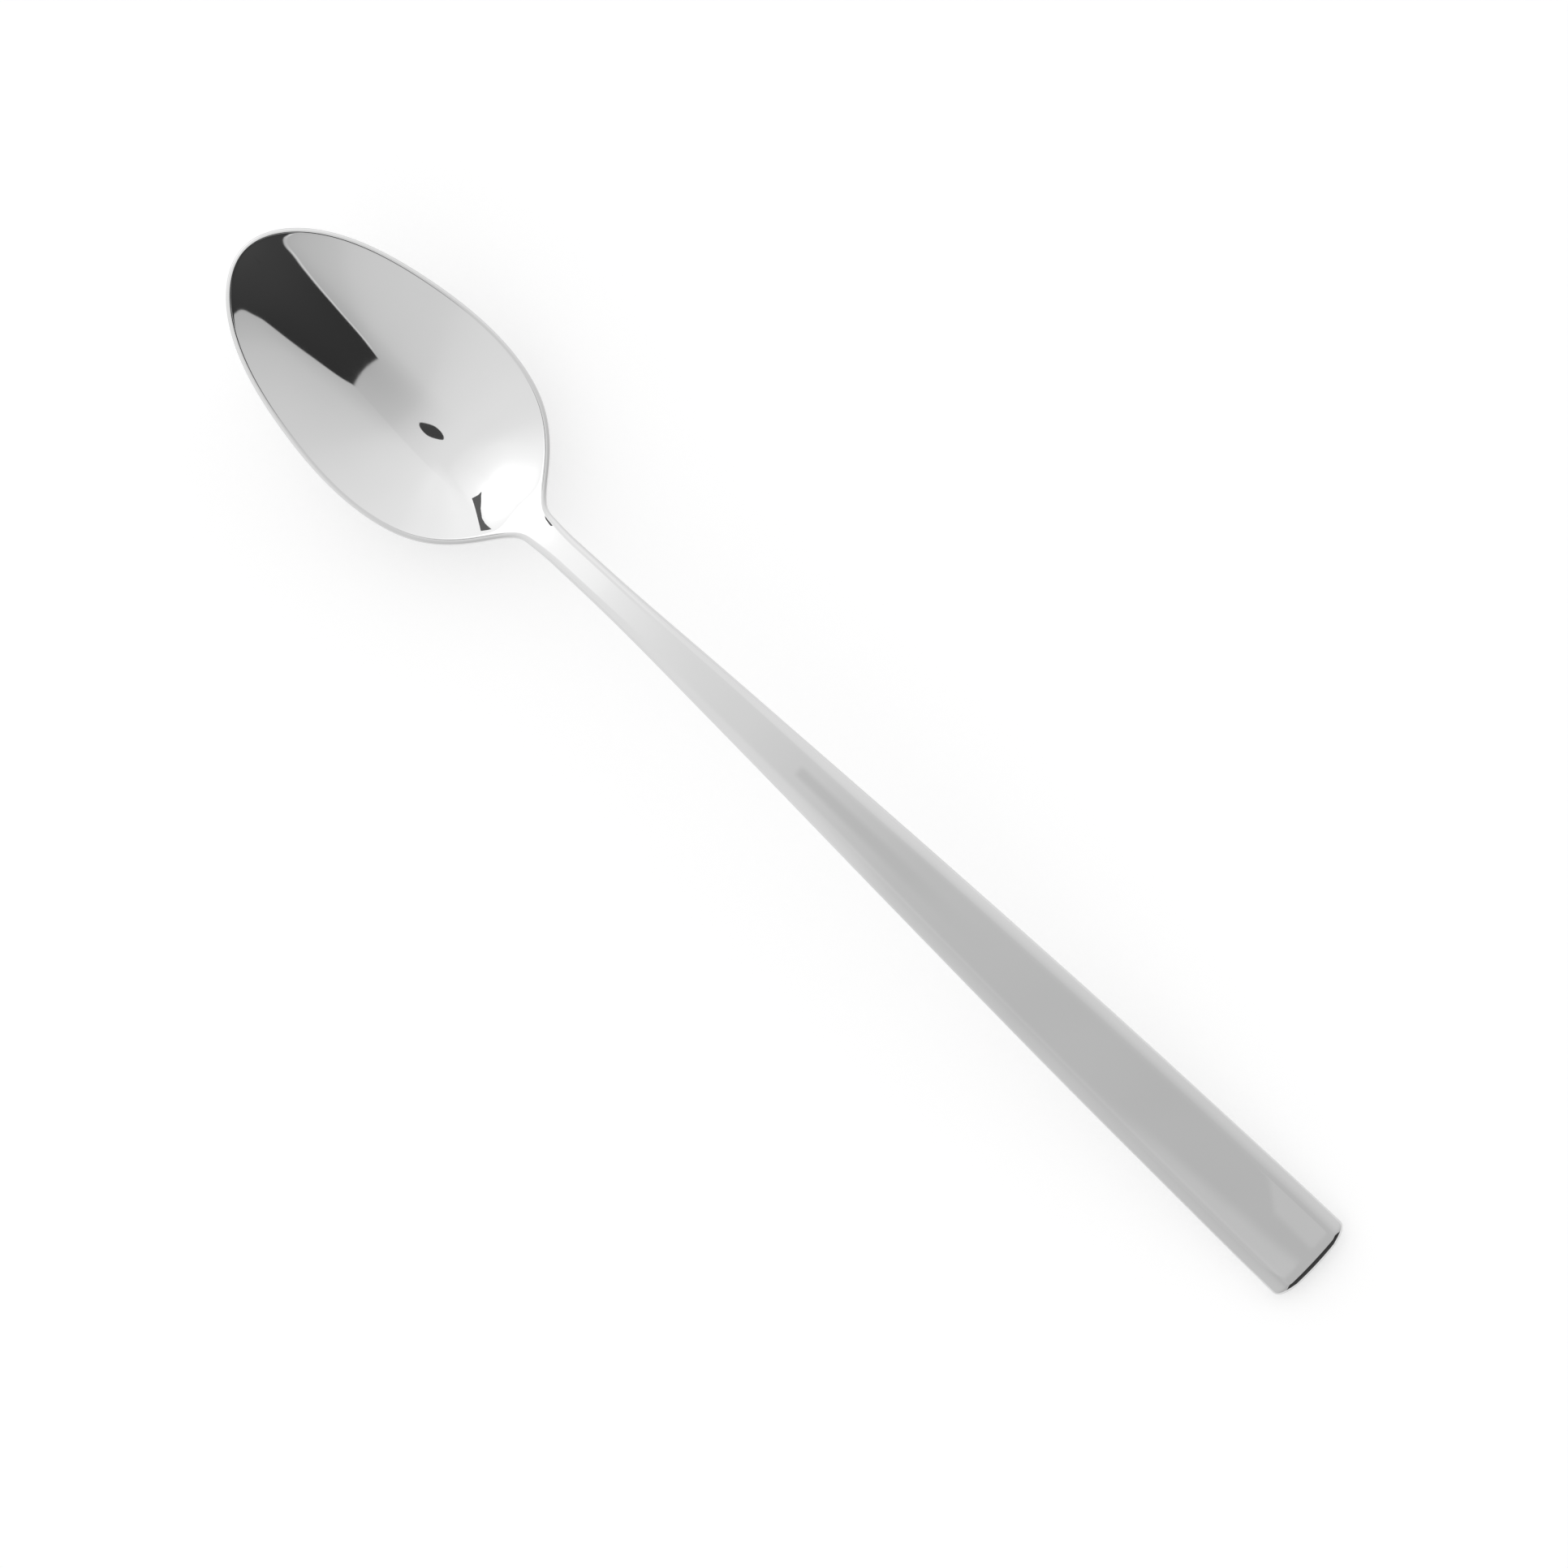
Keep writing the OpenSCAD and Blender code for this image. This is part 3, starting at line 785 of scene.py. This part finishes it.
# from the bright wall beyond the tip to the grey overhead
off = calc("MAXIMUM", calc("MULTIPLY", across_, -1.0), 0.0)
bend_ = calc("MINIMUM", calc("ADD", calc("MULTIPLY", off, 0.2), calc("MULTIPLY", calc("MULTIPLY", off, off), 0.006)), 14.0)
near = calc("MULTIPLY", calc("MAXIMUM", across_, 0.0), step(across_, 29, 24, 0.0, 0.25))
far = calc("MULTIPLY", step(along, -30, -50), calc("ADD", bend_, near))
base = curve(calc("SUBTRACT", along, far),
             [(-90, 1.90), (-80, 1.85), (-74, 1.68), (-71, 1.50), (-68, 1.37), (-62, 1.29), (-54, 1.23), (-45, 1.18),
              (-36, 1.14), (-27, 1.08), (-20, 1.06), (-15, 1.04), (-5, 0.97), (2, 0.91), (8, 0.835), (14, 0.74),
              (20, 0.685), (28, 0.62), (34, 0.54), (50, 0.50), (90, 0.55)])
# the walls on both sides: lighter than the overhead beside the handle, darker than the wall beyond the tip
walls = calc("SUBTRACT", curve(along, [(-90, 0.2), (-60, 0.12), (-40, 0.13), (-28, 0.19), (-12, 0.22), (0, 0.27),
                                       (12, 0.34), (20, 0.38), (32, 0.41), (50, 0.42), (90, 0.42)]), 0.2)
toward = curve(across_, [(-90, 1.0), (-60, 1.0), (-45, 0.92), (-28, 0.45), (-12, 0.08), (0, 0.0), (20, 0.04),
                         (32, 0.12), (44, 0.40), (55, 0.60), (90, 0.62)])
light = calc("ADD", base, calc("MULTIPLY", walls, toward))
corner = calc("MULTIPLY", step(along, -13, -26), calc("MULTIPLY", step(across_, 25, 40), step(across_, 78, 52)))
light = calc("ADD", light, calc("MULTIPLY", corner, 0.085))
# a straight fold of the tent on the +Y side
fold = calc("SUBTRACT", gy, calc("SUBTRACT", 0.82, calc("MULTIPLY", gx, 0.245)))
fade = calc("MULTIPLY", step(along, -40, -15, 0.25, 1.0), step(along, 32, 5, 0.35, 1.0))
light = calc("ADD", light, calc("MULTIPLY", step(fold, -0.02, 0.03), calc("MULTIPLY", fade, 0.055)))

# the dark opening of the tent on the handle's side: from its upper edge down to the table, between two posts
turn = calc("MULTIPLY", calc("ARCTAN2", dy, dx), 57.29578)
down = calc("MULTIPLY", calc("ARCCOSINE", dz), 57.29578)
post_a = curve(down, [(20, 42), (30, 44), (42, 47.5), (46, 49.1), (50, 49.7), (57, 49.8), (60, 49.1), (63, 47.9),
                      (66, 47.4), (69, 45.6), (90, 43)])
post_b = curve(down, [(20, 16), (30, 28), (34, 31), (37, 32.6), (40, 34), (45, 34.3), (50, 34.5), (56, 34.1), (60, 33.6),
                      (64.5, 31.6), (90, 31)])
in_a = step(calc("SUBTRACT", post_a, turn), -0.5, 0.5)
in_b = step(calc("ADD", turn, post_b), -0.5, 0.5)
bow = calc("ADD", gy, 0.12)
in_x = step(calc("SUBTRACT", gx, calc("MULTIPLY", calc("MULTIPLY", bow, bow), 0.045)), 0.573, 0.581)
opening = calc("MULTIPLY", calc("MULTIPLY", in_a, in_b), in_x)
dark = curve(along, [(0, 0.040), (30, 0.040), (45, 0.055), (60, 0.065), (90, 0.08)])
light = calc("ADD", calc("MULTIPLY", light, calc("SUBTRACT", 1.0, opening)), calc("MULTIPLY", dark, opening))
# light catches the edge of one post
edge_b = calc("ADD", turn, post_b)
glint = calc("MULTIPLY", calc("MULTIPLY", step(edge_b, -2.4, -1.4), step(edge_b, -0.5, -1.2)),
             calc("MULTIPLY", step(gx, 0.60, 0.66), step(down, 66, 60, 0.0, 0.30)))
light = calc("ADD", light, glint)

# what the camera sees beyond the floor is plain and pale
lp = wt.nodes.new("ShaderNodeLightPath")
mixv = calc("ADD", calc("MULTIPLY", light, calc("SUBTRACT", 1.0, lp.outputs["Is Camera Ray"])),
            calc("MULTIPLY", 0.97, lp.outputs["Is Camera Ray"]))
comb = wt.nodes.new("ShaderNodeCombineXYZ")
for k in range(3):
    wt.links.new(mixv, comb.inputs[k])
wt.links.new(comb.outputs[0], bg.inputs["Color"])
bg.inputs["Strength"].default_value = 1.0

bpy.context.scene.view_settings.view_transform = "Standard"
